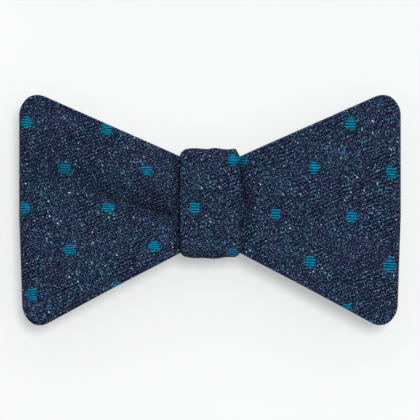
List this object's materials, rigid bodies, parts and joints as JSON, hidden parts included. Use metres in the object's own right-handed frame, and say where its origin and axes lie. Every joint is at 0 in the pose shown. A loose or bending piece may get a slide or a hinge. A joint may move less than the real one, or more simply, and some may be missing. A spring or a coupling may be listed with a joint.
{
  "type": "bow tie",
  "caption": "Ready-tied butterfly bow tie in flecked navy tweed with teal pin dots, with an adjustable hook-and-eye neck band folded behind it.",
  "frame": {"origin": "on the surface that the bow tie lies on, under the middle of the bow's box", "axes": "+X across the bow, to the right as it is seen from in front, +Y up the bow, +Z out of its front"},
  "size_m": [0.1138, 0.0686, 0.0186],
  "materials": {
    "tweed": "matt flecked navy tweed with woven teal pin dots",
    "interlining": "matt off-white canvas",
    "band_cloth": "navy grosgrain, fine cross ribs, soft sheen",
    "thread": "waxed navy sewing thread",
    "plated_steel": "nickel plate with fine rubbing marks"
  },
  "bodies": {
    "bow": {"bow_outer_fabric": "tweed", "bow_interlining": "interlining", "bow_inner_fabric": "tweed", "waist_binding_thread": "thread", "knot_wrap": "tweed", "knot_interlining": "interlining", "knot_closing_stitches": "thread", "band_centre": "band_cloth", "left_fold_1": "band_cloth", "right_fold_1": "band_cloth"},
    "left_span_2": {"left_band_2": "band_cloth", "left_fold_2": "band_cloth"},
    "left_span_3": {"left_band_3": "band_cloth", "left_fold_3": "band_cloth"},
    "left_span_4": {"left_band_4": "band_cloth", "left_fold_4": "band_cloth"},
    "left_span_5": {"left_band_5": "band_cloth", "eye_bar_tack": "thread"},
    "eye": {"band_eye": "plated_steel"},
    "right_span_2": {"right_band_2": "band_cloth", "right_fold_2": "band_cloth"},
    "right_span_3": {"right_band_3": "band_cloth", "right_fold_3": "band_cloth"},
    "right_span_4": {"right_band_4": "band_cloth", "right_return_leg": "band_cloth"},
    "hook": {"band_hook": "plated_steel"},
    "slider": {"band_slider": "plated_steel", "slider_loop": "band_cloth", "slider_bar_tack": "thread"}
  },
  "joints": [
    {"name": "left_band_unfold", "type": "hinge", "parent": "bow", "child": "left_span_2", "pos_m": [-0.053, 0.00194, 0.0074], "axis": [0, 1, 0], "range_deg": [0, 180], "deforming": ["left_fold_1"]},
    {"name": "left_fold_2_open", "type": "hinge", "parent": "left_span_2", "child": "left_span_3", "pos_m": [-0.0125, 0.00194, 0.0062], "axis": [0, -1, 0], "range_deg": [0, 180], "deforming": ["left_fold_2"]},
    {"name": "left_fold_3_open", "type": "hinge", "parent": "left_span_3", "child": "left_span_4", "pos_m": [-0.053, 0.00194, 0.005], "axis": [0, 1, 0], "range_deg": [0, 180], "deforming": ["left_fold_3"]},
    {"name": "left_fold_4_open", "type": "hinge", "parent": "left_span_4", "child": "left_span_5", "pos_m": [-0.0125, 0.00194, 0.0024], "axis": [0, -1, 0], "range_deg": [0, 180], "deforming": ["left_fold_4"]},
    {"name": "eye_swivel", "type": "hinge", "parent": "left_span_5", "child": "eye", "pos_m": [-0.037, 0.00194, 0.0015], "axis": [0, -1, 0], "range_deg": [0, 110]},
    {"name": "right_band_unfold", "type": "hinge", "parent": "bow", "child": "right_span_2", "pos_m": [0.053, 0.00194, 0.0074], "axis": [0, -1, 0], "range_deg": [0, 180], "deforming": ["right_fold_1"]},
    {"name": "right_fold_2_open", "type": "hinge", "parent": "right_span_2", "child": "right_span_3", "pos_m": [0.0125, 0.00194, 0.0062], "axis": [0, 1, 0], "range_deg": [0, 180], "deforming": ["right_fold_2"]},
    {"name": "right_fold_3_open", "type": "hinge", "parent": "right_span_3", "child": "right_span_4", "pos_m": [0.053, 0.00194, 0.00445], "axis": [0, -1, 0], "range_deg": [0, 180], "deforming": ["right_fold_3"]},
    {"name": "hook_swivel", "type": "hinge", "parent": "right_span_4", "child": "hook", "pos_m": [0.0246, 0.00194, 0.00185], "axis": [0, -1, 0], "range_deg": [0, 100]},
    {"name": "slider_slide", "type": "slide", "parent": "right_span_4", "child": "slider", "axis": [-1, 0, 0], "range_m": [0, 0.012], "deforming": ["right_return_leg"]}
  ],
  "couplings": [
    {"joint": "left_fold_2_open", "follows": "left_band_unfold", "ratio": 1},
    {"joint": "left_fold_3_open", "follows": "left_band_unfold", "ratio": 1},
    {"joint": "left_fold_4_open", "follows": "left_band_unfold", "ratio": 1},
    {"joint": "right_fold_2_open", "follows": "right_band_unfold", "ratio": 1},
    {"joint": "right_fold_3_open", "follows": "right_band_unfold", "ratio": 1}
  ]
}
